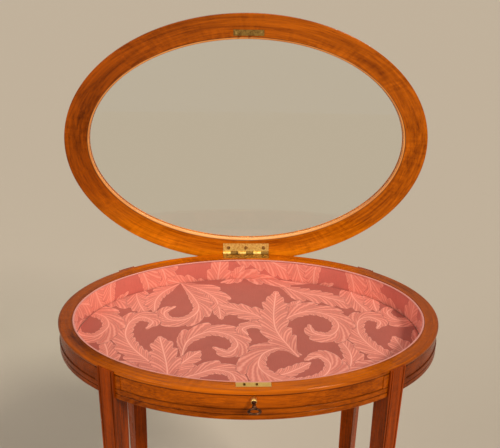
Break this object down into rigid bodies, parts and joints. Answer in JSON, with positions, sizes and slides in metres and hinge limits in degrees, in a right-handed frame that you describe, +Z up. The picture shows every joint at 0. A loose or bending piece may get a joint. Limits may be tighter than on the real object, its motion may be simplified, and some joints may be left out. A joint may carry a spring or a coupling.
{
  "type": "collectors display table",
  "caption": "Oval display table with a shallow damask-lined case on square tapering legs, under a hinged glazed oval lid with a brass lock and key",
  "frame": {"origin": "On the floor, under the centre of the oval case.", "axes": "+Z is up. +X runs along the oval's long axis, to the right of someone who stands at the lock. +Y points to the back, where the hinge is. The lid stands open, leaning back on the rim."},
  "size_m": [0.614, 0.4945, 1.1206],
  "materials": {
    "satinwood": "French-polished figured satinwood",
    "plain_wood": "plain planed wood",
    "brass": "lacquered, lightly tarnished",
    "steel": "plain",
    "bronze": "darkened with age",
    "damask": "woven silk damask, pink on rose",
    "braid": "narrow woven braid",
    "glass": "clear plate glass"
  },
  "bodies": {
    "case": {"leg_back_right": "satinwood", "leg_back_left": "satinwood", "leg_front_left": "satinwood", "leg_front_right": "satinwood", "frieze_front": "satinwood", "frieze_back": "satinwood", "frieze_left": "satinwood", "frieze_right": "satinwood", "panel_moulding_front": "satinwood", "panel_moulding_back": "satinwood", "panel_moulding_left": "satinwood", "panel_moulding_right": "satinwood", "base_moulding_front": "satinwood", "base_moulding_back": "satinwood", "base_moulding_left": "satinwood", "base_moulding_right": "satinwood", "top_rim": "satinwood", "bottom_board": "plain_wood", "hinge_case_leaf": "brass", "hinge_case_screws": "brass", "lock_case": "brass", "lock_cap": "brass", "lock_screws": "brass", "escutcheon": "brass", "hinge_pin": "steel", "board_screws": "steel", "lock_drill_pin": "steel", "floor_lining": "damask", "wall_lining": "damask", "lining_braid": "braid"},
    "lid": {"lid_rail_front": "satinwood", "lid_rail_back": "satinwood", "lid_rail_left": "satinwood", "lid_rail_right": "satinwood", "lid_tongues": "plain_wood", "lid_glass": "glass", "glazing_bead": "satinwood", "hinge_lid_leaf": "brass", "hinge_lid_screws": "brass", "link_plate": "brass", "link_screws": "brass"},
    "key": {"key": "bronze"},
    "bolt": {"lock_bolt": "brass"}
  },
  "joints": [
    {"name": "lid_hinge", "type": "hinge", "parent": "case", "child": "lid", "pos_m": [0, 0.1987, 0.71215], "axis": [1, 0, 0], "range_deg": [0, 97]},
    {"name": "key_turn", "type": "hinge", "parent": "case", "child": "key", "pos_m": [0, -0.19, 0.6995], "axis": [0, 1, 0], "range_deg": [0, 180]},
    {"name": "bolt_slide", "type": "slide", "parent": "case", "child": "bolt", "axis": [1, 0, 0], "range_m": [0, 0.004]}
  ],
  "couplings": [
    {"joint": "bolt_slide", "follows": "key_turn", "m_per_rad": 0.001273}
  ]
}
